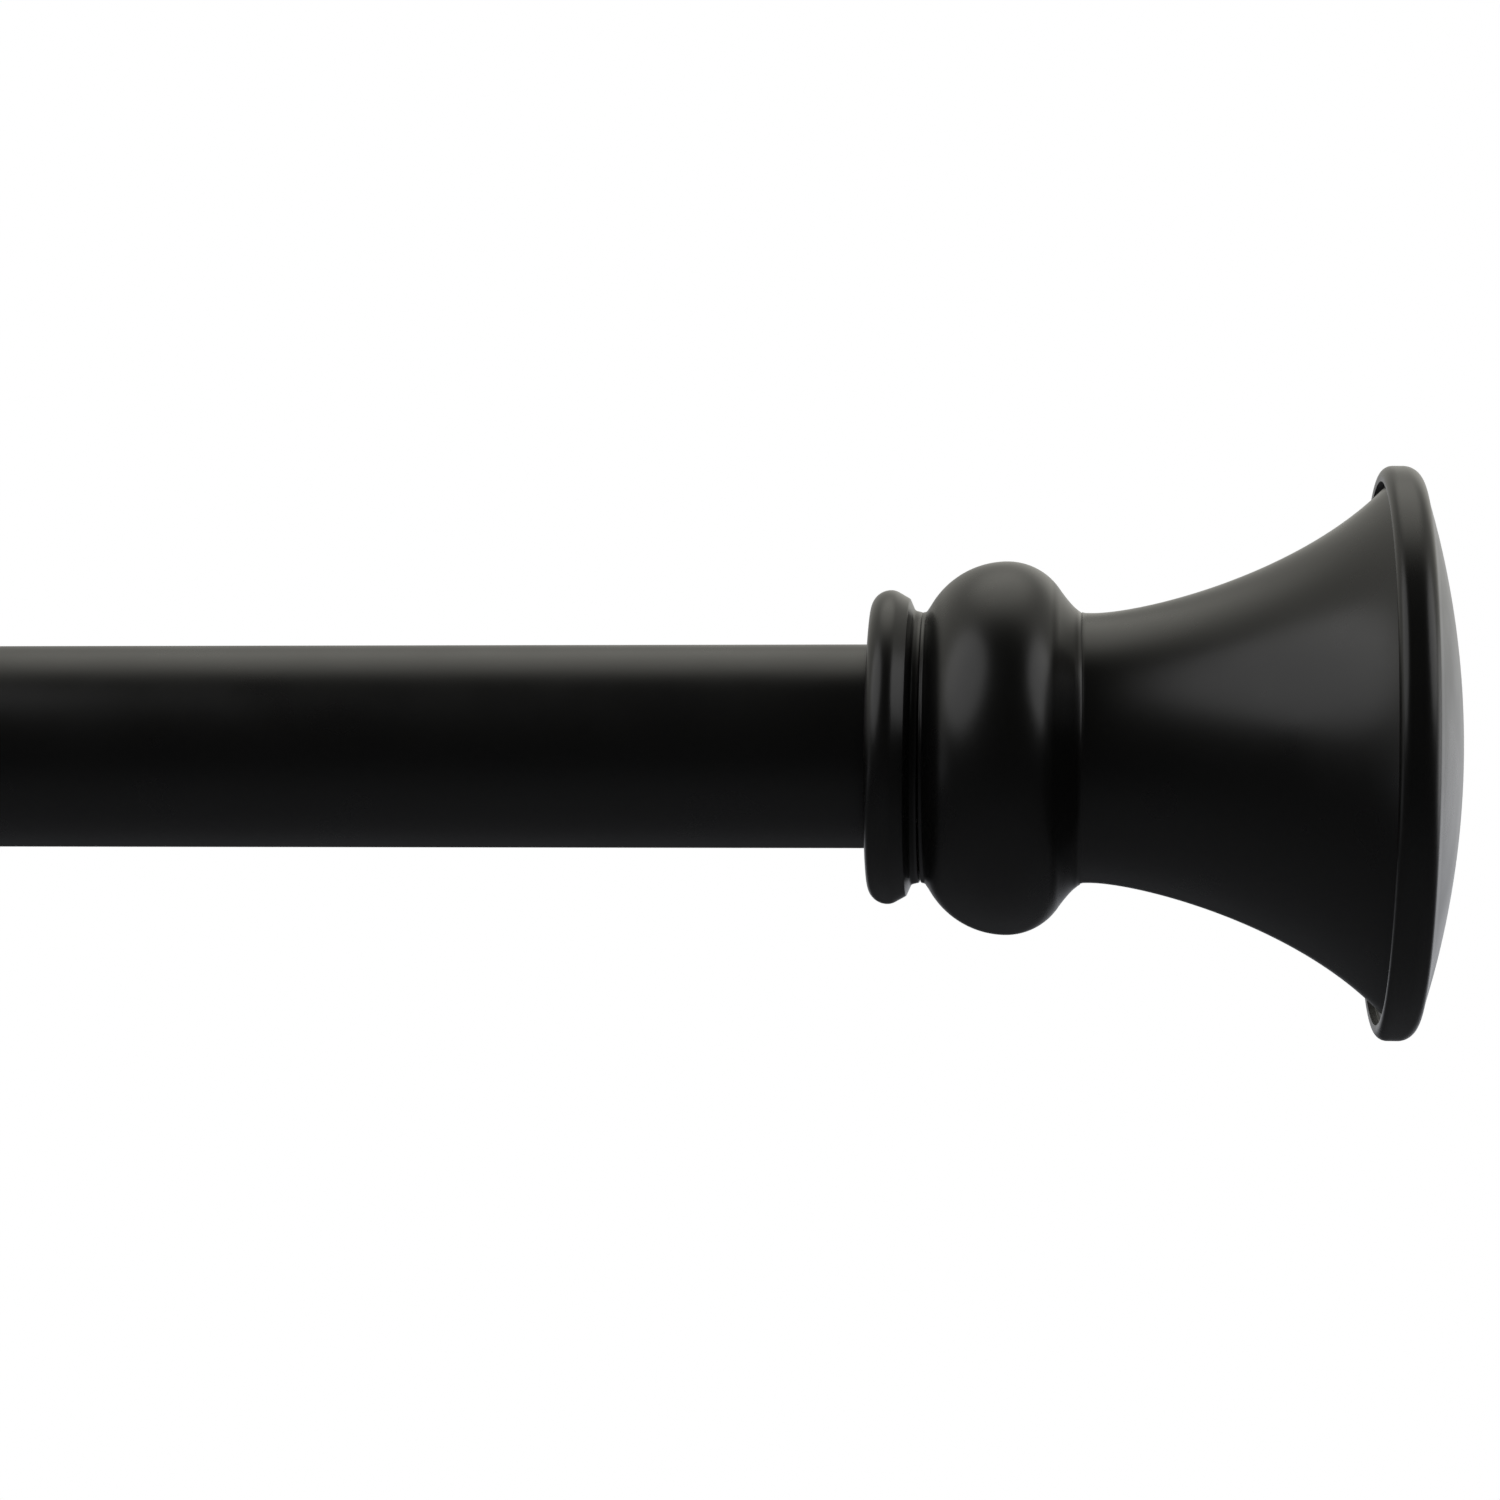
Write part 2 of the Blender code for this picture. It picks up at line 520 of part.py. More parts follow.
def build_lock_screws(side, rod_lock, arm_lock, looks):
    """Thumb screws that point up: under the cup for the rod, under the post for the arm."""
    upwards = (0.0, math.pi / 2, 0.0)
    cup_outside = CUP_BORE + CUP_WALL
    thumb = knurled(f"rod_screw_{side}", (SCREW_RADIUS, CUP_BORE, cup_outside + GAP),
                    (THUMB_HEAD_RADIUS, cup_outside + 1.5 * MM, cup_outside + GAP + THUMB_HEAD_HEIGHT),
                    looks["black_paint"])
    hang(thumb, rod_lock, rotation=upwards)
    lock = knurled(f"projection_screw_{side}", (SCREW_RADIUS, POST_BORE + FINE_GAP, POST_RADIUS + GAP),
                   (LOCK_HEAD_RADIUS, POST_RADIUS + 1.5 * MM, POST_RADIUS + GAP + LOCK_HEAD_HEIGHT),
                   looks["black_paint"])
    hang(lock, arm_lock, rotation=upwards)


def build_bracket(side, x, z, looks):
    """One bracket; its own +X points out of the wall."""
    bracket = joint_frame(f"bracket_{side}", (x, 0.0, z), turn_z=-90.0)
    build_wall_plate(side, bracket, looks)
    build_post(side, bracket, looks)
    cover = joint_frame(f"cover_slide_{side}", (0.0, 0.0, 0.0), parent=bracket)
    build_cover(side, cover, looks)
    arm = joint_frame(f"arm_slide_{side}", (PROJECTION, 0.0, 0.0), parent=bracket)
    build_arm(side, arm, looks)
    rod_lock = joint_frame(f"rod_lock_{side}", (0.0, 0.0, 0.0), parent=arm)
    arm_lock = joint_frame(f"arm_lock_{side}", (PROJECTION_SCREW_AT, 0.0, 0.0), parent=bracket)
    build_lock_screws(side, rod_lock, arm_lock, looks)


# ---------------------------------------------------------------- assembly

def clear_scene():
    """Remove every object."""
    for old in list(bpy.data.objects):
        bpy.data.objects.remove(old, do_unlink=True)


def main():
    clear_scene()
    looks = {
        "black_paint": material("black_paint", (0.012, 0.012, 0.013), 0.42, 0.0),
        "finial_paint": material("finial_paint", (0.012, 0.012, 0.012), 0.40, 0.0),
        "black_plastic": material("black_plastic", (0.02, 0.02, 0.02), 0.55, 0.0),
        "zinc_steel": material("zinc_steel", (0.55, 0.55, 0.56), 0.35, 1.0),
    }
    build_bracket("right", 0.0, 0.0, looks)
    build_bracket("left", LEFT_BRACKET_X, LEFT_RAISE, looks)
    rod = joint_frame("rod_axis", (0.0, -PROJECTION, 0.0))
    inner_rod = joint_frame("inner_rod_axis", (0.0, 0.0, 0.0), parent=rod)
    build_rod(rod, inner_rod, looks)
    right = joint_frame("finial_frame_right", (RIGHT_COLLAR_X, 0.0, 0.0), parent=rod)
    left = joint_frame("finial_frame_left", (LEFT_COLLAR_X, 0.0, 0.0), turn_z=180.0, parent=inner_rod)
    build_finial("right", right, ROD_RADIUS, looks)
    build_finial("left", left, INNER_RADIUS, looks)


main()
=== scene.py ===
"""Looks of the adjustable curtain rod set: fine meshes, painted finishes, lights and camera.

Every length in an outline is in millimetres; MM turns it into Blender's metres. An outline is
a list of (along, radius) points, with along measured on the turned piece's own axis.
"""
import math

import bmesh
import bpy
from mathutils import Matrix, Vector


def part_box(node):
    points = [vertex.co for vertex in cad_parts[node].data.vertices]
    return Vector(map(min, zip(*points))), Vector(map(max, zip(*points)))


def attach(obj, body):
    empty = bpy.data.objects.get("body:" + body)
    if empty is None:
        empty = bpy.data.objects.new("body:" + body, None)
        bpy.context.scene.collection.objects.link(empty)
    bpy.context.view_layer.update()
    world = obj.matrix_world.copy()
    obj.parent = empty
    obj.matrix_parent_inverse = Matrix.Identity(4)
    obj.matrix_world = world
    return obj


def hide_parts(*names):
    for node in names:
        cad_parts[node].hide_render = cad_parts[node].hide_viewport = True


MM = 0.001
ROUND = 176                     # sides of a large turned piece
SMALL_ROUND = 72                # sides of a screw or a post
SEAM = 0.02                     # hairline between pieces that rest on each other
NECK_SEAM = 0.006               # the same in the neck, where paint has run into it
SHARP_ANGLE = 38.0              # degrees between two faces from which their edge looks sharp
SIDES = ("right", "left")

# Rod
ROD_RADIUS = 12.7
INNER_RADIUS = 11.1
TUBE_WALL = 0.8
SOCKET_DEPTH = 3.6

# Finial, measured from the collar's face
DROOP = 0.8                     # degrees that the stack hangs low as a whole
# How each piece sits in the stack: its lean in degrees, a place along and its drop there
SEATS = {
    "collar": (0.84, 3.0, 0.105),
    "bulb": (0.41, 17.0, 0.237),
    "bell": (0.45, 42.0, 0.33),
    "end_cap": (0.58, 65.5, 0.90),
    "screw": (DROOP, 0.0, 0.0),
    "plug": (0.0, 0.0, 0.0),
}
COLLAR_RADIUS = 19.54
COLLAR_CORNER = 2.45
GROOVE_RADIUS = 16.81
GROOVE_AT = 6.45
SOCKET_END = 5.2                # the collar's disc behind the tube's socket starts here
STUB_RADIUS = 6.0               # the plug's stub, which centres the collar and the bulb
STUB_BORE = 6.3
BULB_RADIUS = 23.2
BULB_AT = 17.0
BULB_LEFT_CURVE = 10.9
BULB_RIGHT_CURVE = 7.83
BULB_FOOT_RADIUS = 17.7         # where the bulb rises out of the groove
BULB_FALL_TO = 34.2             # degrees round the right curve at which the slope starts
SLOPE_END = (25.45, 17.414)     # the slope runs into the neck's small round here
CREASE_CORNER = (26.28, 16.75)
CREASE_ROUND = 1.45
NECK_RADIUS = 16.74
NECK_AT = 26.2
FLARE_FROM = 27.4
MOUTH_RADIUS = 32.68
MOUTH_AT = 63.5
SHELL_WALL = 2.4
BELL_DISC = 3.0                 # thickness of the disc across the bell's narrow end
SPIGOT_LENGTH = 2.0
SPIGOT_RADIUS = 15.7
SPIGOT_BORE = 16.0              # the bulb's hole round the bell's spigot
CAP_RADIUS = 35.4
CAP_LIP_AT = 62.48
CAP_SHOULDER_AT = 67.5
CAP_TIP_AT = 72.7
CAP_CORNER = 2.3
CAP_WALL = 3.0
CAP_LIP_WALL = 1.9
CAP_LIP_ROUND = 1.45
CAP_HOLLOW_RADIUS = 29.4
BOSS_RADIUS = 5.0
SCREW_RADIUS = 2.0
SCREW_HOLE = 2.3

# Brackets, measured from the wall
PROJECTION = 90.0
PLATE_RADIUS = 27.0
PLATE_THICKNESS = 3.0
PLATE_HOLE_RADIUS = 2.5
PLATE_HOLE_SPACING = 38.0
STUD_LENGTH = 10.0
POST_RADIUS = 8.0
POST_BORE = 6.1
POST_END = 55.0
ARM_LENGTH = 58.0
CUP_BORE = 13.0
CUP_WALL = 3.0
CUP_WIDTH = 14.0
CUP_RISE = 7.0
COVER_RADIUS = 31.0
COVER_DEPTH = 14.0
PROJECTION_SCREW_AT = 47.0

# Crosshead recesses
SLOT_WIDTH = 0.9
SLOT_TAPER = 0.45               # length of the bars at the bottom, as a part of that at the top
SLOT_RUNOUT = 0.4               # how far the cutting bars stand out of the head

# Finishes
FINIAL_TONE = (0.0045, 0.0045, 0.0045)
TUBE_TONE = (0.0050, 0.0050, 0.0052)
DUST_TONE = (0.045, 0.044, 0.042)
DUST_CELLS = 360.0              # one cell in about 1/360 m can hold a speck
DUST_SHARE = 0.05               # part of the cells that hold one
RECESS_SHADE_LOSS = 0.30              # specular level taken off in a recess: painted shade that darkens it
SPECULAR = 0.5
# Painted shade in the finial's groove and neck crease, in mm along it: dullness starts, is full,
# eases off and ends
SHADED_RECESSES = ((5.1, 5.4, 5.9, 6.2), (7.2, 7.5, 8.4, 9.6), (22.3, 22.9, 25.6, 25.95))

# Studio, in metres; a direction is degrees to the right from straight behind the camera, and up
SOFTBOX_DISTANCE = 1.1
LIGHT_TARGET = 40.0             # mm from the collar's face towards the cap
# Name, degrees right, degrees up, radius in degrees as seen from the target, radiance
SOFTBOXES = (("left softbox", -64.7, 34.6, 26.5, 1.20),
             ("right softbox", 74.1, 30.1, 22.2, 1.36),
             ("side softbox", 110.1, 3.2, 13.8, 1.05))
CEILING_LAMP = (180.0, 64.5)
CEILING_LAMP_REACH = 30.5
CEILING_LAMP_LEVEL = 0.78
WINDOW = (160.0, 8.0)
WINDOW_REACH = 32.0
WINDOW_CORE = 12.0
WINDOW_LEVEL = 0.42
BACKDROP_LEVEL = 0.48
TABLE_LEVELS = (0.118, 0.033)   # glow of the table, straight below and near the horizon
FLOOR_SIZE = 3.4
FLOOR_CENTRE = (-0.17, -0.27, -0.42)

# Camera, measured from the right collar's face on the rod's axis
CAMERA_SIDE = 23.62
CAMERA_BACK = 497.0
CAMERA_DROP = 0.46
CAMERA_YAW = 4.443
CAMERA_LENS = 95.78
SENSOR_WIDTH = 36.0


# ---------------------------------------------------------------- outlines

def arc(centre, radius, start, end, steps):
    """Points on an arc, angles in degrees: 0 along the axis, 90 away from it."""
    points = []
    for step in range(steps + 1):
        angle = math.radians(start + (end - start) * step / steps)
        points.append((centre[0] + radius * math.cos(angle),
                       centre[1] + radius * math.sin(angle)))
    return points


def bezier(start, handle_a, handle_b, end, steps):
    """Points on a cubic curve, both ends included."""
    points = []
    for step in range(steps + 1):
        t = step / steps
        s = 1.0 - t
        weights = (s ** 3, 3 * s * s * t, 3 * s * t * t, t ** 3)
        ends = (start, handle_a, handle_b, end)
        points.append(tuple(sum(w * p[i] for w, p in zip(weights, ends)) for i in range(2)))
    return points


def eased(corners, closed=True, steps=5):
    """Outline through corners of (along, radius, edge radius); each edge becomes an arc."""
    points = []
    count = len(corners)
    for index, (x, y, edge) in enumerate(corners):
        at_end = not closed and index in (0, count - 1)
        if edge <= 0.0 or at_end:
            points.append((x, y))
            continue
        before = Vector(corners[index - 1][:2]) - Vector((x, y))
        after = Vector(corners[(index + 1) % count][:2]) - Vector((x, y))
        half = before.angle(after) / 2.0
        reach = min(edge / math.tan(half), 0.49 * before.length, 0.49 * after.length)
        first = Vector((x, y)) + before.normalized() * reach
        last = Vector((x, y)) + after.normalized() * reach
        corner = Vector((x, y))
        for step in range(steps + 1):
            t = step / steps
            bent = first * (1 - t) ** 2 + corner * 2 * t * (1 - t) + last * t ** 2
            points.append((bent.x, bent.y))
    return points


# ---------------------------------------------------------------- mesh makers

def finish_mesh(name, mesh_data, look):
    """Turn a bmesh into a smooth-shaded object."""
    bmesh.ops.remove_doubles(mesh_data, verts=mesh_data.verts, dist=1e-7)
    bmesh.ops.recalc_face_normals(mesh_data, faces=mesh_data.faces)
    mesh = bpy.data.meshes.new(name)
    mesh_data.to_mesh(mesh)
    mesh_data.free()
    mesh.shade_smooth()
    mesh.set_sharp_from_angle(angle=math.radians(SHARP_ANGLE))
    mesh.materials.append(look)
    piece = bpy.data.objects.new(name, mesh)
    bpy.context.collection.objects.link(piece)
    return piece


def turned(name, outline, look, sides=ROUND):
    """Spin an outline about the X axis; it is closed unless it starts on the axis."""
    spun = bmesh.new()
    verts = [spun.verts.new((along * MM, 0.0, radius * MM)) for along, radius in outline]
    edges = [spun.edges.new(pair) for pair in zip(verts, verts[1:])]
    if outline[0][1] > 0.0:
        edges.append(spun.edges.new((verts[-1], verts[0])))
    bmesh.ops.spin(spun, geom=verts + edges, cent=(0, 0, 0), axis=(1, 0, 0),
                   angle=math.tau, steps=sides, use_merge=True)
    return finish_mesh(name, spun, look)


def extruded(name, outline, width, look, bevel):
    """Extrude an outline in the XZ plane by width along Y and round its long edges."""
    solid = bmesh.new()
    verts = [solid.verts.new((x * MM, -width / 2 * MM, z * MM)) for x, z in outline]
    face = solid.faces.new(verts)
    sweep = bmesh.ops.extrude_face_region(solid, geom=[face])
    moved = [item for item in sweep["geom"] if isinstance(item, bmesh.types.BMVert)]
    bmesh.ops.translate(solid, verts=moved, vec=(0.0, width * MM, 0.0))
    piece = finish_mesh(name, solid, look)
    edge = piece.modifiers.new("edge", "BEVEL")
    edge.width = bevel * MM
    edge.segments = 4
    edge.limit_method = "ANGLE"
    edge.angle_limit = math.radians(60.0)
    bake_modifiers(piece)
    return piece


def bake_modifiers(piece):
    """Apply every modifier to the piece's own mesh."""
    bpy.context.view_layer.update()
    graph = bpy.context.evaluated_depsgraph_get()
    baked = bpy.data.meshes.new_from_object(piece.evaluated_get(graph))
    piece.modifiers.clear()
    piece.data = baked
    baked.shade_smooth()
    baked.set_sharp_from_angle(angle=math.radians(SHARP_ANGLE))


def carve(piece, cutters):
    """Subtract cutters, given in the piece's own axes, and remove them."""
    for cutter in cutters:
        boolean = piece.modifiers.new("carve", "BOOLEAN")
        boolean.operation = "DIFFERENCE"
        boolean.solver = "EXACT"
        boolean.object = cutter
    bake_modifiers(piece)
    for cutter in cutters:
        bpy.data.objects.remove(cutter, do_unlink=True)


def fluted(piece, start, radius, flutes, depth):
    """Press grip flutes into the part of a turned head that lies beyond start."""
    for vert in piece.data.vertices:
        across = math.hypot(vert.co.y, vert.co.z)
        if vert.co.x > start * MM and across > 0.8 * radius * MM:
            angle = math.atan2(vert.co.z, vert.co.y)
            dip = depth * MM * (0.5 + 0.5 * math.cos(flutes * angle)) ** 2
            keep = 1.0 - dip / across
            vert.co.y *= keep
            vert.co.z *= keep
    piece.data.update()


def threaded(start, end, radius, pitch=0.8, depth=0.28):
    """Outline points of a screw thread, seen as fine ridges."""
    turns = max(1, int((end - start) / pitch))
    step = (end - start) / turns
    points = []
    for turn in range(turns):
        at = start + turn * step
        points += [(at, radius - depth), (at + 0.35 * step, radius), (at + 0.65 * step, radius)]
    return points + [(end, radius - depth)]


def cross_slot(location, half_width, depth, direction):
    """Two crossing bars that cut a crosshead recess on the X axis, open towards +1 or -1."""
    bars = []
    for turn in (0.0, 90.0):
        bar = bmesh.new()
        made = bmesh.ops.create_cube(bar, size=1.0)
        for vert in made["verts"]:
            inner = vert.co.x * direction < 0.0
            spread = SLOT_TAPER if inner else 1.0
            along = location + direction * (-depth if inner else SLOT_RUNOUT)
            vert.co = Vector((along, vert.co.y * 2.0 * half_width * spread,
                              vert.co.z * SLOT_WIDTH)) * MM
        bmesh.ops.rotate(bar, verts=made["verts"], cent=(0, 0, 0),
                         matrix=Matrix.Rotation(math.radians(turn), 3, "X"))
        bars.append(finish_mesh("cross_bar", bar, bpy.data.materials["zinc plate"]))
    return bars


# ---------------------------------------------------------------- node helpers

class Nodes:
    """Short forms for building a material's node tree."""

    def __init__(self, tree):
        self.tree = tree

    def add(self, kind, inputs=None, **settings):
        """Add a node; inputs are numbers or sockets by input name or place."""
        node = self.tree.nodes.new(kind)
        for key, value in settings.items():
            setattr(node, key, value)
        for key, value in (inputs or {}).items():
            self.feed(node.inputs[key], value)
        return node

    def feed(self, socket, value):
        """Link a socket or set a number."""
        if isinstance(value, bpy.types.NodeSocket):
            self.tree.links.new(value, socket)
        else:
            socket.default_value = value

    def math(self, operation, *values):
        """Result of a math node on numbers or sockets."""
        return self.add("ShaderNodeMath", dict(enumerate(values)), operation=operation).outputs[0]

    def ramp(self, value, low, high, out_low=0.0, out_high=1.0):
        """Smooth step of value from low to high."""
        inputs = {"Value": value, "From Min": low, "From Max": high,
                  "To Min": out_low, "To Max": out_high}
        node = self.add("ShaderNodeMapRange", inputs, interpolation_type="SMOOTHSTEP")
        return node.outputs["Result"]

    def noise(self, place, scale, detail=2.0, roughness=0.5):
        """Noise with features of about 1/scale metres."""
        node = self.add("ShaderNodeTexNoise", {"Vector": place, "Scale": scale, "Detail": detail,
                                               "Roughness": roughness})
        return node.outputs["Fac"]


def new_material(name):
    """An empty node material with its Principled shader and object coordinates."""
    look = bpy.data.materials.new(name)
    look.use_nodes = True
    nodes = Nodes(look.node_tree)
    shader = look.node_tree.nodes["Principled BSDF"]
    place = nodes.add("ShaderNodeTexCoord").outputs["Object"]
    return look, nodes, shader, place


# ---------------------------------------------------------------- materials

def satin_paint(name, tone, roughness, peel_size, peel_depth, shaded_recesses=()):
    """Sprayed black enamel: faint orange peel, uneven sheen, dust specks, and painted shade as a
    lower specular level in the given bands.
    """
    look, nodes, shader, place = new_material(name)
    cloud = nodes.noise(place, 90.0, detail=3.0)
    grain = nodes.noise(place, 1400.0, detail=2.0)
    sheen = nodes.add("ShaderNodeMapRange", {"Value": cloud, "From Min": 0.3, "From Max": 0.7,
                                             "To Min": roughness - 0.025,
                                             "To Max": roughness + 0.035})
    cells = nodes.add("ShaderNodeTexVoronoi", {"Vector": place, "Scale": DUST_CELLS})
    speck_core = nodes.ramp(cells.outputs["Distance"], 0.05, 0.02)
    pick = nodes.add("ShaderNodeSeparateColor", {"Color": cells.outputs["Color"]}).outputs["Red"]
    chosen = nodes.math("GREATER_THAN", pick, 1.0 - DUST_SHARE)
    speck = nodes.math("MULTIPLY", speck_core, chosen)
    mix = nodes.add("ShaderNodeMix", data_type="RGBA")
    nodes.feed(mix.inputs["Factor"], speck)
    mix.inputs["A"].default_value = (*tone, 1.0)
    mix.inputs["B"].default_value = (*DUST_TONE, 1.0)
    nodes.feed(shader.inputs["Base Color"], mix.outputs["Result"])
    worn = nodes.math("ADD", sheen.outputs["Result"], nodes.math("MULTIPLY", speck, 0.3))
    nodes.feed(shader.inputs["Roughness"], worn)
    peel = nodes.noise(place, 1.0 / (peel_size * MM), detail=1.5)
    height = nodes.math("ADD", peel, nodes.math("MULTIPLY", grain, 0.12))
    bump = nodes.add("ShaderNodeBump", {"Height": height, "Strength": 1.0,
                                        "Distance": peel_depth * MM})
    nodes.feed(shader.inputs["Normal"], bump.outputs["Normal"])
    shader.inputs["IOR"].default_value = 1.5
    # Painted shade: the specular level drops in each band along the finial, which darkens the
    # groove and the neck's crease where shade falls.
    if shaded_recesses:
        along = nodes.add("ShaderNodeSeparateXYZ", {"Vector": place}).outputs["X"]
        dull = 0.0
        for start, full, ease, end in shaded_recesses:
            shade_band = nodes.math("MULTIPLY", nodes.ramp(along, start * MM, full * MM),
                              nodes.ramp(along, ease * MM, end * MM, 1.0, 0.0))
            dull = nodes.math("ADD", shade_band, dull)
        specular_with_painted_shade = nodes.math("MULTIPLY_ADD", dull, -RECESS_SHADE_LOSS, SPECULAR)
        nodes.feed(shader.inputs["Specular IOR Level"], specular_with_painted_shade)
    look.diffuse_color = (*tone, 1.0)
    return look


def moulded_plastic():
    """Dull black moulded nylon with a fine spark-eroded grain."""
    look, nodes, shader, place = new_material("moulded plastic")
    grain = nodes.noise(place, 2600.0, detail=3.0, roughness=0.6)
    cloud = nodes.noise(place, 120.0, detail=2.0)
    tint = nodes.add("ShaderNodeValToRGB", {"Fac": cloud})
    tint.color_ramp.elements[0].color = (0.016, 0.016, 0.017, 1.0)
    tint.color_ramp.elements[1].color = (0.026, 0.026, 0.027, 1.0)
    nodes.feed(shader.inputs["Base Color"], tint.outputs["Color"])
    dull = nodes.add("ShaderNodeMapRange", {"Value": grain, "To Min": 0.48, "To Max": 0.66})
    nodes.feed(shader.inputs["Roughness"], dull.outputs["Result"])
    bump = nodes.add("ShaderNodeBump", {"Height": grain, "Strength": 1.0, "Distance": 0.02 * MM})
    nodes.feed(shader.inputs["Normal"], bump.outputs["Normal"])
    return look


def zinc_plate():
    """Bright zinc-plated steel with turned lines and cloudy passivation."""
    look, nodes, shader, place = new_material("zinc plate")
    lines = nodes.add("ShaderNodeTexWave", {"Vector": place, "Scale": 900.0, "Distortion": 1.5,
                                            "Detail": 2.0}, bands_direction="X")
    cloud = nodes.noise(place, 260.0, detail=3.0)
    tint = nodes.add("ShaderNodeValToRGB", {"Fac": cloud})
    tint.color_ramp.elements[0].color = (0.50, 0.51, 0.53, 1.0)
    tint.color_ramp.elements[1].color = (0.66, 0.66, 0.64, 1.0)
    nodes.feed(shader.inputs["Base Color"], tint.outputs["Color"])
    shader.inputs["Metallic"].default_value = 1.0
    dull = nodes.add("ShaderNodeMapRange", {"Value": cloud, "To Min": 0.26, "To Max": 0.42})
    nodes.feed(shader.inputs["Roughness"], dull.outputs["Result"])
    bump = nodes.add("ShaderNodeBump", {"Height": lines.outputs["Fac"], "Strength": 1.0,
                                        "Distance": 0.006 * MM})
    nodes.feed(shader.inputs["Normal"], bump.outputs["Normal"])
    return look


def make_looks():
    """Every finish, by the record's slot name."""
    return {
        "finial_paint": satin_paint("finial enamel", FINIAL_TONE, roughness=0.285, peel_size=2.6,
                                    peel_depth=0.0035, shaded_recesses=SHADED_RECESSES),
        "black_paint": satin_paint("tube enamel", TUBE_TONE, roughness=0.29, peel_size=1.8,
                                   peel_depth=0.0040),
        "black_plastic": moulded_plastic(),
        "zinc_steel": zinc_plate(),
    }


# ---------------------------------------------------------------- placing

def put(piece, matrix, body, node):
    """Place a fine piece, let it ride on its body and stand for its CAD node."""
    piece.matrix_world = matrix
    bpy.context.view_layer.update()
    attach(piece, body)
    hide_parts(node)


def middle(low, high):
    """Where a box's middle line along X runs, as its y and z."""
    return (low[1] + high[1]) / 2.0, (low[2] + high[2]) / 2.0


# ---------------------------------------------------------------- rod

def seamed_tube(name, radius, length, look):
    """A roll-formed tube along +X with its folded seam on the wall side."""
    bore = radius - TUBE_WALL
    seam_half = 0.9 / radius
    angles = []
    for step in range(ROUND):
        angle = seam_half + (math.tau - 2.0 * seam_half) * step / (ROUND - 1)
        angles.append((angle, 0.0))
    angles += [(-0.30 * seam_half, 0.02), (-0.08 * seam_half, 0.16),
               (0.08 * seam_half, 0.16), (0.30 * seam_half, 0.02)]
    rounded_wall = eased([(0.0, bore, 0.15), (0.0, radius, 0.3), (length, radius, 0.3),
                          (length, bore, 0.15)])
    tube = bmesh.new()
    rings = []
    for angle, dip in angles:
        ring = []
        for along, across in rounded_wall:
            depth = dip if across > radius - TUBE_WALL / 2 else 0.0
            reach = (across - depth) * MM
            ring.append(tube.verts.new((along * MM, reach * math.cos(angle),
                                        reach * math.sin(angle))))
        rings.append(ring)
    for ring, following in zip(rings, rings[1:] + rings[:1]):
        for place in range(len(ring)):
            after = (place + 1) % len(ring)
            tube.faces.new((ring[place], ring[after], following[after], following[place]))
    return finish_mesh(name, tube, look)


def build_rod(looks):
    """Two tubes, the bush in the wide one's mouth and the glide on the thin one's hidden end."""
    outer_low, outer_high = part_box("outer_tube")
    inner_low, inner_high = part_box("inner_tube")
    axis = middle(outer_low, outer_high)
    mouth = Matrix.Translation((outer_low[0], *axis))
    far_end = Matrix.Translation((inner_low[0], *axis))
    hidden_end = Matrix.Translation((inner_high[0], *axis))
    paint, plastic = looks["black_paint"], looks["black_plastic"]

    outer = seamed_tube("wide_tube", ROD_RADIUS, (outer_high[0] - outer_low[0]) / MM, paint)
    put(outer, mouth, "rod", "outer_tube")
    inner = seamed_tube("thin_tube", INNER_RADIUS, (inner_high[0] - inner_low[0]) / MM, paint)
    put(inner, far_end, "rod_extension", "inner_tube")

    bore = ROD_RADIUS - TUBE_WALL
    bush_outline = eased([(-1.7, INNER_RADIUS + 0.1, 0.25), (-1.7, ROD_RADIUS - 0.05, 0.6),
                          (-SEAM, ROD_RADIUS - 0.05, 0.1), (-SEAM, bore - 0.1, 0.05),
                          (14.0, bore - 0.1, 0.3), (14.0, INNER_RADIUS + 0.1, 0.1)])
    bush = turned("mouth_bush", bush_outline, plastic)
    put(bush, mouth, "rod", "tube_bush")

    barrel = INNER_RADIUS - TUBE_WALL - 0.1
    glide_outline = eased([(-14.0, barrel - 1.8, 0.2), (-14.0, barrel, 0.5), (SEAM, barrel, 0.05),
                           (SEAM, bore - 0.1, 0.1), (5.0, bore - 0.1, 0.3), (6.0, bore - 1.1, 0.3),
                           (6.0, barrel - 1.8, 0.2)])
    glide = turned("inner_glide", glide_outline, plastic)
    put(glide, hidden_end, "rod_extension", "glide_plug")


# ---------------------------------------------------------------- finials

def collar_outline(tube_radius):
    """Round front edge, a bevel behind the crown, then the steep side of the groove."""
    socket = tube_radius + 0.12
    front = arc((COLLAR_CORNER, COLLAR_RADIUS - COLLAR_CORNER), COLLAR_CORNER, 180.0, 90.0, 20)
    crown = arc((COLLAR_CORNER, COLLAR_RADIUS - 2.0), 2.0, 90.0, 61.0, 8)[1:]
    back = GROOVE_AT - SEAM
    flank = eased([(*crown[-1], 0.0), (4.8, 18.5, 0.35), (5.43, 17.05, 0.55),
                   (back, GROOVE_RADIUS, 0.22), (back, STUB_BORE, 0.0)], closed=False, steps=7)[1:]
    inside = [(SOCKET_END, STUB_BORE), (SOCKET_END, socket), (0.25, socket), (0.0, socket + 0.25)]
    return front + crown + flank + inside


def crease():
    """The small round where the bulb's slope runs into the bell's neck."""
    return eased([(*SLOPE_END, 0.0), (*CREASE_CORNER, CREASE_ROUND),
                  (FLARE_FROM, NECK_RADIUS, 0.0)], closed=False, steps=14)


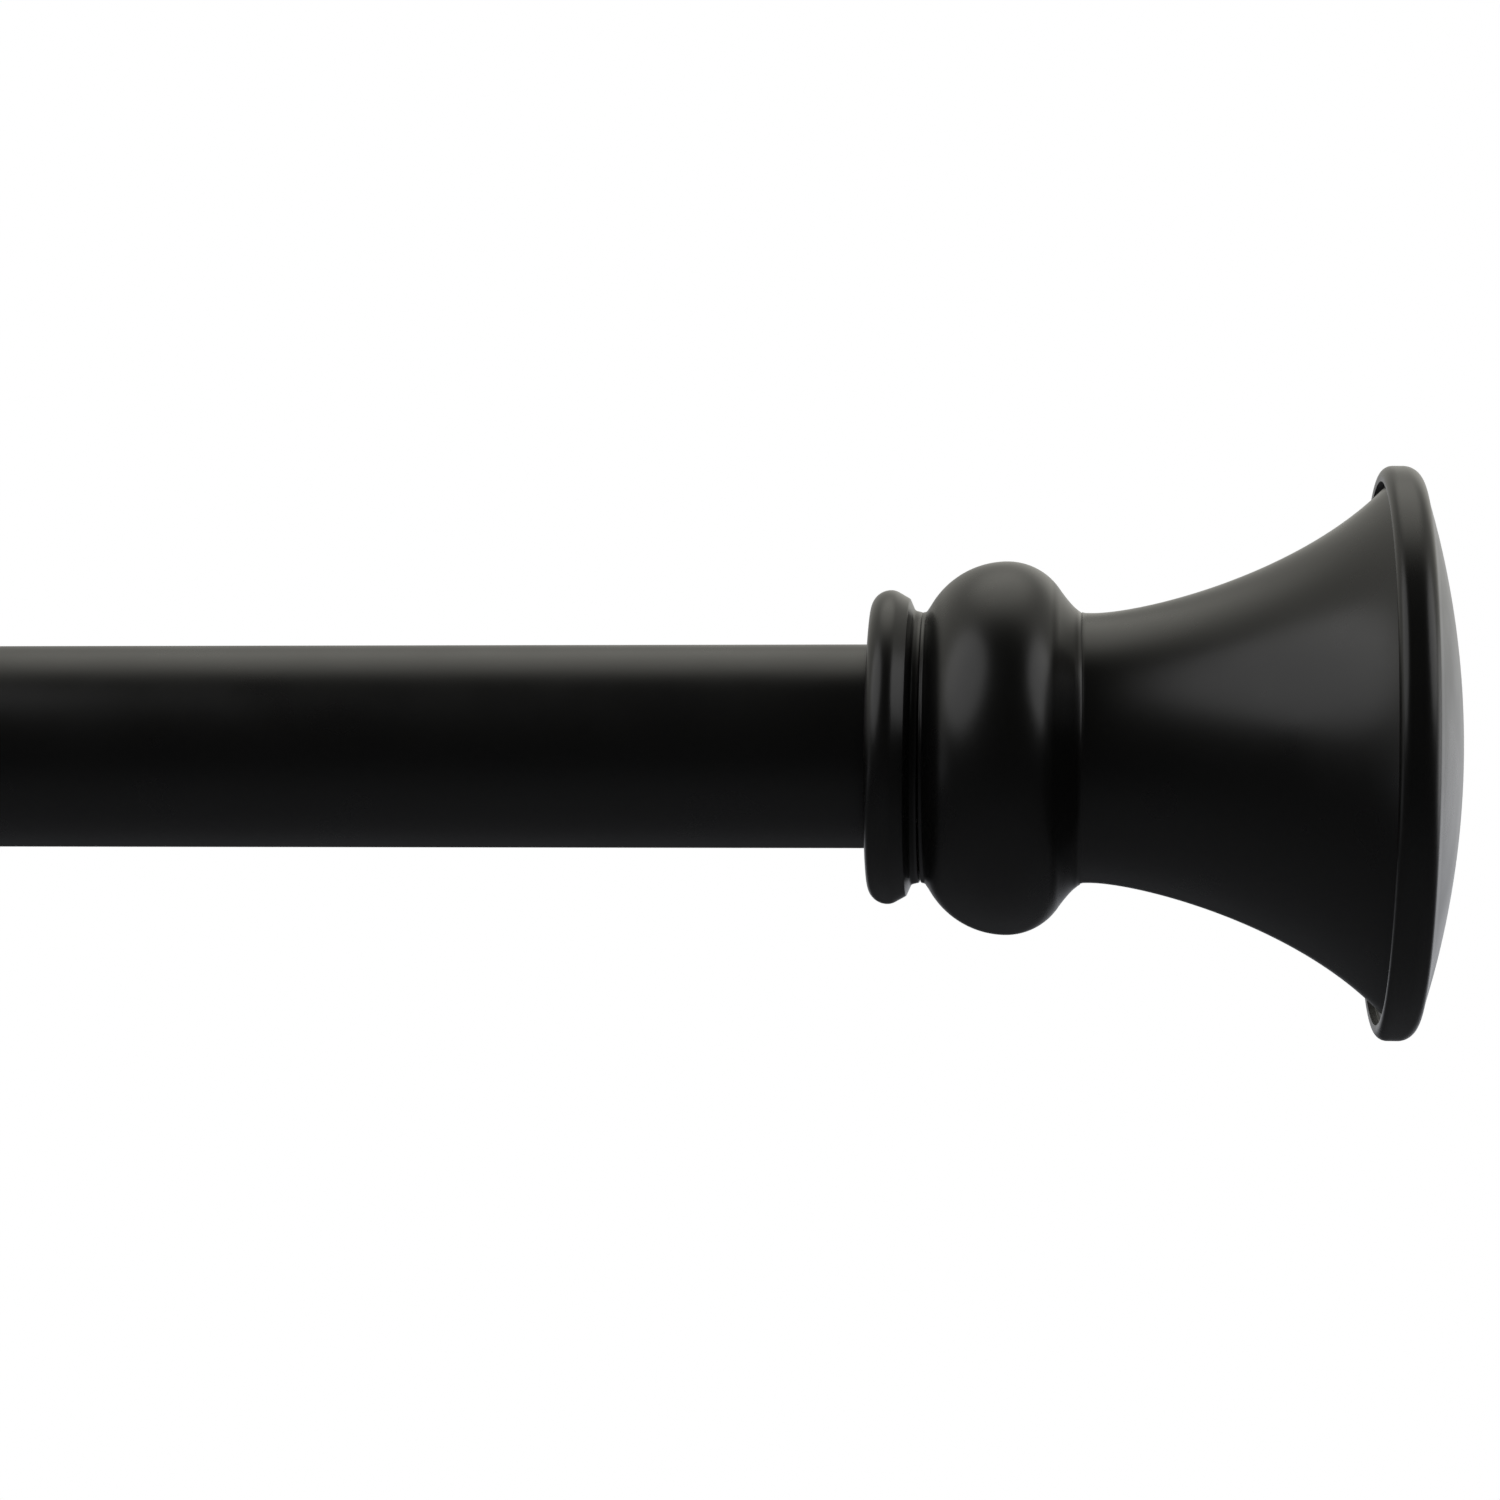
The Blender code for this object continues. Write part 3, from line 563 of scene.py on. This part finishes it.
def bulb_outline():
    """From the groove round the bulb and down the fillet to the neck, then its hollow inside."""
    front = GROOVE_AT + SEAM
    left_centre = (BULB_AT, BULB_RADIUS - BULB_LEFT_CURVE)
    left_rise = math.asin((BULB_FOOT_RADIUS - left_centre[1]) / BULB_LEFT_CURVE)
    rise = arc(left_centre, BULB_LEFT_CURVE, 180.0 - math.degrees(left_rise), 90.0, 36)
    root = eased([(front, STUB_BORE, 0.0), (front, GROOVE_RADIUS, 0.22),
                  (7.0, GROOVE_RADIUS + 0.1, 0.5), (*rise[0], 0.0)], closed=False, steps=7)[:-1]
    right_centre = (BULB_AT, BULB_RADIUS - BULB_RIGHT_CURVE)
    fall = arc(right_centre, BULB_RIGHT_CURVE, 90.0, BULB_FALL_TO, 30)[1:]
    turn = fall[-1]
    slope = bezier(turn, (turn[0] + 0.62, turn[1] - 0.91), (25.0, 17.79), SLOPE_END, 30)[1:-1]
    end = NECK_AT - NECK_SEAM
    foot = [point for point in crease() if point[0] < end]
    edge = [(end, foot[-1][1] - 0.005), (end, SPIGOT_BORE)]
    hollow = [(23.9, SPIGOT_BORE), (21.5, 18.7), (BULB_AT, 20.2), (12.0, 17.7),
              (12.0, SCREW_HOLE), (9.9, SCREW_HOLE), (9.9, STUB_BORE)]
    return root + rise + fall + slope + foot + edge + hollow


def flare(inset, steps):
    """The bell's curve from the neck to the mouth; inset gives the inside of its wall."""
    return bezier((FLARE_FROM, NECK_RADIUS - inset), (FLARE_FROM + 6.2, NECK_RADIUS - inset),
                  (MOUTH_AT - 10.4, MOUTH_RADIUS - 11.0 - inset),
                  (MOUTH_AT, MOUTH_RADIUS - inset), steps)


def bell_outline():
    """The flared shell, a disc across its narrow end and the spigot that centres it."""
    start = NECK_AT + NECK_SEAM
    round_in = [point for point in crease() if point[0] > start][:-1]
    edge = [(start, round_in[0][1] + 0.005)] + round_in
    disc = start + BELL_DISC
    spigot = start - SPIGOT_LENGTH
    inside = [point for point in reversed(flare(SHELL_WALL, 24)) if point[0] > disc]
    web = [(disc, NECK_RADIUS - SHELL_WALL), (disc, 2.6), (spigot, 2.6),
           (spigot, SPIGOT_RADIUS - 0.2), (spigot + 0.2, SPIGOT_RADIUS), (start, SPIGOT_RADIUS)]
    return edge + flare(0.0, 72) + inside + web


def end_cap_outline():
    """Tapped boss, hollow, seat on the bell's mouth, the lip round it and the domed face."""
    lip_inside = CAP_RADIUS - CAP_LIP_WALL
    dome_edge = CAP_RADIUS - CAP_CORNER
    sag = CAP_TIP_AT - CAP_SHOULDER_AT
    dome_curve = (dome_edge ** 2 + sag ** 2) / (2.0 * sag)
    dome_angle = math.degrees(math.asin(dome_edge / dome_curve))
    centre = (CAP_TIP_AT - dome_curve, 0.0)
    inner_curve = dome_curve - CAP_WALL
    boss = [(62.0, 0.0), (62.0, 2.2), (48.3, 2.2), (48.0, 2.5), (48.0, 4.7), (48.3, BOSS_RADIUS)]
    hollow = arc(centre, inner_curve, math.degrees(math.asin(BOSS_RADIUS / inner_curve)),
                 math.degrees(math.asin(CAP_HOLLOW_RADIUS / inner_curve)), 20)
    seat = MOUTH_AT + SEAM
    lip = eased([(*hollow[-1], 0.0), (seat, CAP_HOLLOW_RADIUS, 0.1), (seat, lip_inside, 0.1),
                 (CAP_LIP_AT + 0.1, lip_inside, 0.0)], closed=False)[1:]
    lip += arc((CAP_LIP_AT + CAP_LIP_ROUND, CAP_RADIUS - CAP_LIP_ROUND), CAP_LIP_ROUND,
               176.0, 90.0, 24)
    shoulder = arc((CAP_SHOULDER_AT - CAP_CORNER, dome_edge), CAP_CORNER, 90.0, dome_angle, 18)
    dome = arc(centre, dome_curve, dome_angle, 0.0, 48)[1:]
    return boss + hollow + lip + shoulder + dome


def plug_outline(tube_radius):
    """A ribbed push-in plug with a flange on the tube's end and a stub into the bulb."""
    grip = tube_radius - TUBE_WALL - 0.1
    waist = grip - 0.6
    corners = [(-20.4, 4.6, 0.2), (-20.4, waist - 0.5, 0.5)]
    for number in range(2):
        start = -18.4 + number * 8.0
        corners += [(start, waist, 0.1), (start + 1.0, grip, 0.2), (start + 4.0, grip, 0.2),
                    (start + 4.2, waist, 0.1)]
    flange = tube_radius - 0.2
    corners += [(3.66, waist, 0.1), (3.66, flange, 0.2), (4.9, flange, 0.2),
                (4.9, STUB_RADIUS, 0.1), (9.6, STUB_RADIUS, 0.4), (9.6, SCREW_HOLE, 0.1),
                (-0.7, SCREW_HOLE, 0.1), (-0.7, 4.6, 0.1)]
    return eased(corners, steps=4)


def finial_screw(name, look):
    """A long pan-head machine screw, threaded at its far end."""
    head_end = -4.0
    head = [(head_end, 0.0), (head_end, 2.2), (-3.8, 3.0), (-3.2, 3.7), (-2.4, 4.0), (-1.2, 4.0),
            (-1.0, 3.8)]
    shank = [(-1.0, SCREW_RADIUS), (36.0, SCREW_RADIUS)]
    thread = threaded(36.4, 59.0, SCREW_RADIUS, pitch=0.7)
    screw = turned(name, head + shank + thread + [(60.0, 0.0)], look, sides=SMALL_ROUND)
    carve(screw, cross_slot(head_end, half_width=1.9, depth=1.6, direction=-1))
    return screw


def build_finial(side, looks):
    """Collar, bulb, bell and cap on their drooping axis, and the plug in line with the tube."""
    outer_low, outer_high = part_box("outer_tube")
    inner_low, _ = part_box("inner_tube")
    axis = Vector((0.0, *middle(outer_low, outer_high)))
    if side == "right":
        axis.x = outer_high[0] - SOCKET_DEPTH * MM
        frame_matrix = Matrix.Translation(axis)
        tube_radius = ROD_RADIUS
    else:
        axis.x = inner_low[0] + SOCKET_DEPTH * MM
        frame_matrix = Matrix.Translation(axis) @ Matrix.Rotation(math.pi, 4, "Z")
        tube_radius = INNER_RADIUS
    painted = (("collar", collar_outline(tube_radius)), ("bulb", bulb_outline()),
               ("bell", bell_outline()), ("end_cap", end_cap_outline()))
    pieces = [(word, turned(f"{word}_{side}", outline, looks["finial_paint"]), "finial_paint")
              for word, outline in painted]
    screw = finial_screw(f"long_screw_{side}", looks["zinc_steel"])
    plug = turned(f"tube_plug_{side}", plug_outline(tube_radius), looks["black_plastic"])
    pieces += [("screw", screw, "zinc_steel"), ("plug", plug, "black_plastic")]
    for word, piece, slot in pieces:
        lean, along, drop = SEATS[word]
        seat = (Matrix.Translation((along * MM, 0.0, -drop * MM))
                @ Matrix.Rotation(math.radians(lean), 4, "Y")
                @ Matrix.Translation((-along * MM, 0.0, 0.0)))
        put(piece, frame_matrix @ seat, f"{side}_finial", f"finial_{word}_{side}")


# ---------------------------------------------------------------- brackets

def wall_plate(side, look):
    """Round steel plate with its stud and two countersunk holes."""
    stud = POST_BORE - 0.1
    end = PLATE_THICKNESS + STUD_LENGTH
    edge = eased([(0.0, PLATE_RADIUS, 0.2), (PLATE_THICKNESS, PLATE_RADIUS, 0.8),
                  (PLATE_THICKNESS, stud, 0.3)], closed=False)
    thread = threaded(PLATE_THICKNESS + 0.6, end - 0.6, stud, pitch=1.2, depth=0.35)
    plate = turned(f"plate_{side}", [(0.0, 0.0), (0.0, PLATE_RADIUS - 0.2)] + edge + thread
                   + [(end, stud - 0.8), (end, 0.0)], look)
    holes = []
    for sign in (1, -1):
        hole = turned("hole", [(-1.0, 0.0), (-1.0, PLATE_HOLE_RADIUS), (1.2, PLATE_HOLE_RADIUS),
                               (4.0, PLATE_HOLE_RADIUS + 2.8), (4.0, 0.0)], look, sides=64)
        hole.location = (0.0, 0.0, sign * PLATE_HOLE_SPACING / 2 * MM)
        holes.append(hole)
    carve(plate, holes)
    return plate


def post(side, look):
    """The tube on the stud, with a rolled lip round its mouth and the lock screw's hole."""
    lip = POST_RADIUS + 1.2
    foot = PLATE_THICKNESS + SEAM
    outline = eased([(foot, POST_BORE, 0.1), (foot, POST_RADIUS, 0.3),
                     (POST_END - 4.6, POST_RADIUS, 0.6), (POST_END - 4.0, lip, 0.5),
                     (POST_END, lip, 0.8), (POST_END, POST_BORE, 0.4)])
    made = turned(f"post_tube_{side}", outline, look, sides=96)
    hole = turned("hole", [(5.0, 0.0), (5.0, SCREW_HOLE), (9.2, SCREW_HOLE), (9.2, 0.0)], look,
                  sides=48)
    hole.rotation_euler = (0.0, math.pi / 2, 0.0)
    hole.location = (PROJECTION_SCREW_AT * MM, 0.0, 0.0)
    carve(made, [hole])
    return made


def base_cover(side, look):
    """The spun cover that hides the plate: a low rim, an ogee and a nose round the post."""
    hole = POST_RADIUS + 0.3
    nose = hole + 3.2
    rim_edge = (4.9, COVER_RADIUS - 2.2)
    rim = eased([(0.3, COVER_RADIUS, 0.3), (3.8, COVER_RADIUS, 1.0), (*rim_edge, 0.0)],
                closed=False, steps=8)
    ogee = bezier(rim_edge, (10.2, COVER_RADIUS - 3.4), (8.7, nose + 5.0), (12.8, nose), 28)
    inner_face = COVER_DEPTH - 1.6
    front = eased([(*ogee[-1], 0.0), (COVER_DEPTH, nose - 0.8, 0.6), (COVER_DEPTH, hole, 0.3),
                   (inner_face, hole, 0.0)], closed=False, steps=5)
    inner = bezier((3.6, COVER_RADIUS - 2.1), (9.2, COVER_RADIUS - 3.6), (7.2, nose + 5.2),
                   (11.4, nose + 0.4), 20)
    return turned(f"cover_{side}", rim + ogee[1:] + front[1:] + [(inner_face, nose - 1.2)]
                  + list(reversed(inner)) + [(0.3, COVER_RADIUS - 1.6)], look)


def arm(side, look):
    """The sliding bar, chamfered at its hidden end and drilled for the cup's screw."""
    end = -CUP_BORE - CUP_WALL - SEAM
    start = end - ARM_LENGTH - 0.2
    drilled_to = end - 13.0
    bar = POST_BORE - 0.1
    outside = eased([(start, 0.5, 0.0), (start, bar - 0.8, 0.2), (start + 0.8, bar, 0.3),
                     (end, bar, 0.25), (end, SCREW_HOLE, 0.1), (drilled_to, SCREW_HOLE, 0.0)],
                    closed=False)
    return turned(f"arm_bar_{side}", [(start, 0.0)] + outside + [(drilled_to, 0.0)], look, sides=96)


def cup(side, look):
    """The open U that the rod lies in, with its countersunk back hole and its tapped floor."""
    outer = CUP_BORE + CUP_WALL
    tip = CUP_WALL / 2
    outline = (arc((0.0, 0.0), outer, 180.0, 360.0, 72)
               + arc((CUP_BORE + tip, CUP_RISE), tip, 0.0, 180.0, 16)
               + arc((0.0, 0.0), CUP_BORE, 360.0, 180.0, 72)
               + arc((-CUP_BORE - tip, CUP_RISE), tip, 0.0, 180.0, 16))
    made = extruded(f"rod_cup_{side}", outline, CUP_WIDTH, look, bevel=0.6)
    sink = turned("sink", [(-outer - 1.0, 0.0), (-outer - 1.0, SCREW_HOLE), (-15.0, SCREW_HOLE),
                           (-13.3, 4.0), (-9.0, 4.0), (-9.0, 0.0)], look, sides=64)
    tapped = turned("tapped", [(10.0, 0.0), (10.0, SCREW_HOLE), (18.0, SCREW_HOLE), (18.0, 0.0)],
                    look, sides=48)
    tapped.rotation_euler = (0.0, math.pi / 2, 0.0)
    carve(made, [sink, tapped])
    return made


def cup_screw(side, look):
    """Countersunk crosshead screw from the cup into the arm."""
    head_end = -13.4
    thread = threaded(-26.4, -16.4, SCREW_RADIUS, pitch=0.7)
    head = [(-15.1, SCREW_RADIUS), (-13.5, 3.6), (head_end, 3.7), (head_end, 0.0)]
    screw = turned(f"sunk_screw_{side}", [(-27.0, 0.0)] + thread + head, look, sides=SMALL_ROUND)
    carve(screw, cross_slot(head_end, half_width=1.7, depth=1.5, direction=1))
    return screw


def thumb_screw(name, look, shank_start, shank_end, head_radius, head_end, flutes):
    """Screw with a fluted grip and a dished end, along +X."""
    head = eased([(shank_end, SCREW_RADIUS - 0.3, 0.0), (shank_end, head_radius, 0.5),
                  (head_end, head_radius, 0.6), (head_end, head_radius * 0.55, 0.25),
                  (head_end - 0.5, head_radius * 0.45, 0.2), (head_end - 0.5, 0.0, 0.0)],
                 closed=False)
    thread = threaded(shank_start + 0.3, shank_end - 0.1, SCREW_RADIUS, pitch=0.7)
    tip = [(shank_start, 0.0), (shank_start, SCREW_RADIUS - 0.6)]
    screw = turned(name, tip + thread + head, look, sides=288)
    fluted(screw, shank_end - 0.05, head_radius, flutes, depth=0.45)
    return screw


def build_bracket(side, looks):
    """One bracket with its cover, arm, cup and locking screws, from its wall plate's place."""
    low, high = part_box(f"wall_plate_{side}")
    foot = Matrix.Translation(((low[0] + high[0]) / 2.0, high[1], (low[2] + high[2]) / 2.0))
    outward = foot @ Matrix.Rotation(-math.pi / 2, 4, "Z")
    at_rod = outward @ Matrix.Translation((PROJECTION * MM, 0.0, 0.0))
    downwards = Matrix.Rotation(math.pi / 2, 4, "Y")
    at_lock = outward @ Matrix.Translation((PROJECTION_SCREW_AT * MM, 0.0, 0.0)) @ downwards
    paint, steel = looks["black_paint"], looks["zinc_steel"]
    cup_outside = CUP_BORE + CUP_WALL
    put(wall_plate(side, paint), outward, f"{side}_bracket", f"wall_plate_{side}")
    put(post(side, paint), outward, f"{side}_bracket", f"post_{side}")
    put(base_cover(side, paint), outward, f"{side}_cover", f"base_cover_{side}")
    put(arm(side, paint), at_rod, f"{side}_arm", f"arm_{side}")
    put(cup(side, paint), at_rod, f"{side}_arm", f"cup_{side}")
    put(cup_screw(side, steel), at_rod, f"{side}_arm", f"cup_screw_{side}")
    thumb = thumb_screw(f"rod_thumb_screw_{side}", paint, shank_start=CUP_BORE,
                        shank_end=cup_outside + 0.4, head_radius=5.0,
                        head_end=cup_outside + 8.3, flutes=18)
    put(thumb, at_rod @ downwards, f"{side}_rod_lock", f"rod_screw_{side}")
    lock = thumb_screw(f"arm_thumb_screw_{side}", paint, shank_start=POST_BORE + 0.1,
                       shank_end=POST_RADIUS + 0.4, head_radius=4.0,
                       head_end=POST_RADIUS + 4.8, flutes=14)
    put(lock, at_lock, f"{side}_arm_lock", f"projection_screw_{side}")


# ---------------------------------------------------------------- studio

def facing(azimuth, elevation):
    """Unit vector into the studio; azimuth 0 is straight behind the camera, + to its right."""
    turn, tilt = math.radians(azimuth), math.radians(elevation)
    return Vector((math.sin(turn) * math.cos(tilt), -math.cos(turn) * math.cos(tilt),
                   math.sin(tilt)))


def softbox(name, target, azimuth, elevation, reach, radiance):
    """A round softbox that shines on target, seen from there as a disc of reach degrees' radius."""
    away = facing(azimuth, elevation)
    lamp = bpy.data.lights.new(name, "AREA")
    lamp.shape = "DISK"
    radius = SOFTBOX_DISTANCE * math.tan(math.radians(reach))
    lamp.size = 2.0 * radius
    lamp.energy = radiance * math.pi * math.pi * radius ** 2
    holder = bpy.data.objects.new(name, lamp)
    holder.location = target + away * SOFTBOX_DISTANCE
    holder.rotation_euler = (-away).to_track_quat("-Z", "Y").to_euler()
    holder.visible_camera = False
    bpy.context.collection.objects.link(holder)


def glow(nodes, way, place, reach, core, level):
    """A round light in the world, from nothing at reach degrees off place to level at core."""
    toward = nodes.add("ShaderNodeVectorMath", {0: way, 1: facing(*place)}, operation="DOT_PRODUCT")
    return nodes.ramp(toward.outputs["Value"], math.cos(math.radians(reach)),
                      math.cos(math.radians(core)), 0.0, level)


def build_world():
    """White for the camera; for all else a dim room: backdrop, table, ceiling lamp and window."""
    world = bpy.data.worlds.new("studio")
    bpy.context.scene.world = world
    world.use_nodes = True
    tree = world.node_tree
    tree.nodes.clear()
    nodes = Nodes(tree)
    way = nodes.add("ShaderNodeTexCoord").outputs["Generated"]
    split = nodes.add("ShaderNodeSeparateXYZ", {"Vector": way})
    back, up = split.outputs["Y"], split.outputs["Z"]
    backdrop = nodes.math("MULTIPLY", nodes.ramp(back, -0.30, 0.13), nodes.ramp(up, -0.24, -0.10))
    lamp = glow(nodes, way, CEILING_LAMP, CEILING_LAMP_REACH, 0.0, CEILING_LAMP_LEVEL)
    table = nodes.ramp(up, -1.0, -0.15, *TABLE_LEVELS)
    window = glow(nodes, way, WINDOW, WINDOW_REACH, WINDOW_CORE, WINDOW_LEVEL)
    level = nodes.math("ADD", nodes.math("MULTIPLY", backdrop, BACKDROP_LEVEL),
                       nodes.math("ADD", lamp, table))
    level = nodes.math("ADD", level, window)
    tint = nodes.add("ShaderNodeMix", data_type="RGBA")
    nodes.feed(tint.inputs["Factor"], nodes.ramp(up, -0.2, 0.3))
    tint.inputs["A"].default_value = (0.98, 1.0, 1.06, 1.0)
    tint.inputs["B"].default_value = (1.0, 0.985, 0.90, 1.0)
    room = nodes.add("ShaderNodeBackground", {"Color": tint.outputs["Result"], "Strength": level})
    white = nodes.add("ShaderNodeBackground", {"Color": (1.0, 1.0, 1.0, 1.0), "Strength": 1.0})
    seen = nodes.add("ShaderNodeLightPath").outputs["Is Camera Ray"]
    join = nodes.add("ShaderNodeMixShader", {0: seen, 1: room.outputs[0], 2: white.outputs[0]})
    output = nodes.add("ShaderNodeOutputWorld")
    tree.links.new(join.outputs[0], output.inputs["Surface"])


def build_floor():
    """A plain pale table well below the rod, out of the main view."""
    bpy.ops.mesh.primitive_plane_add(size=FLOOR_SIZE, location=FLOOR_CENTRE)
    floor = bpy.context.object
    floor.name = "studio_floor"
    look = bpy.data.materials.new("pale floor")
    look.use_nodes = True
    shader = look.node_tree.nodes["Principled BSDF"]
    shader.inputs["Base Color"].default_value = (0.82, 0.82, 0.81, 1.0)
    shader.inputs["Roughness"].default_value = 0.9
    floor.data.materials.append(look)
    floor.visible_glossy = False


def build_studio(collar_face):
    """World, softboxes, floor and the plain view transform."""
    build_world()
    target = collar_face + Vector((LIGHT_TARGET * MM, 0.0, 0.0))
    for name, azimuth, elevation, reach, radiance in SOFTBOXES:
        softbox(name, target, azimuth, elevation, reach, radiance)
    build_floor()
    view = bpy.context.scene.view_settings
    view.view_transform = "Standard"
    view.look = "None"
    view.exposure = 0.0
    view.gamma = 1.0


def build_camera(collar_face):
    """A level long-lens camera a little to the finial's side of the collar."""
    data = bpy.data.cameras.new("camera")
    data.lens = CAMERA_LENS
    data.sensor_width = SENSOR_WIDTH
    data.clip_start = 0.01
    camera = bpy.data.objects.new("camera", data)
    bpy.context.collection.objects.link(camera)
    camera.location = collar_face + Vector((CAMERA_SIDE, -CAMERA_BACK, -CAMERA_DROP)) * MM
    camera.rotation_euler = (math.pi / 2, 0.0, math.radians(CAMERA_YAW))
    bpy.context.scene.camera = camera


# ---------------------------------------------------------------- assembly

def main():
    """Fine pieces around the frame, then the studio and the camera."""
    looks = make_looks()
    low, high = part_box("outer_tube")
    collar_face = Vector((high[0] - SOCKET_DEPTH * MM, *middle(low, high)))
    build_rod(looks)
    for side in SIDES:
        build_finial(side, looks)
        build_bracket(side, looks)
    build_studio(collar_face)
    build_camera(collar_face)


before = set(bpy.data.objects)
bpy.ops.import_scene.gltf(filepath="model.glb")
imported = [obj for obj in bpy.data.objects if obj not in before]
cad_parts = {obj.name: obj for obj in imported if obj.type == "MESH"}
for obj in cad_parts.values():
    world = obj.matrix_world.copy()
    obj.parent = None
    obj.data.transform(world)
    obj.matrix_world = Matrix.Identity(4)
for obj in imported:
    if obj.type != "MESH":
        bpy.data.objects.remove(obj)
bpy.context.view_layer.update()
main()
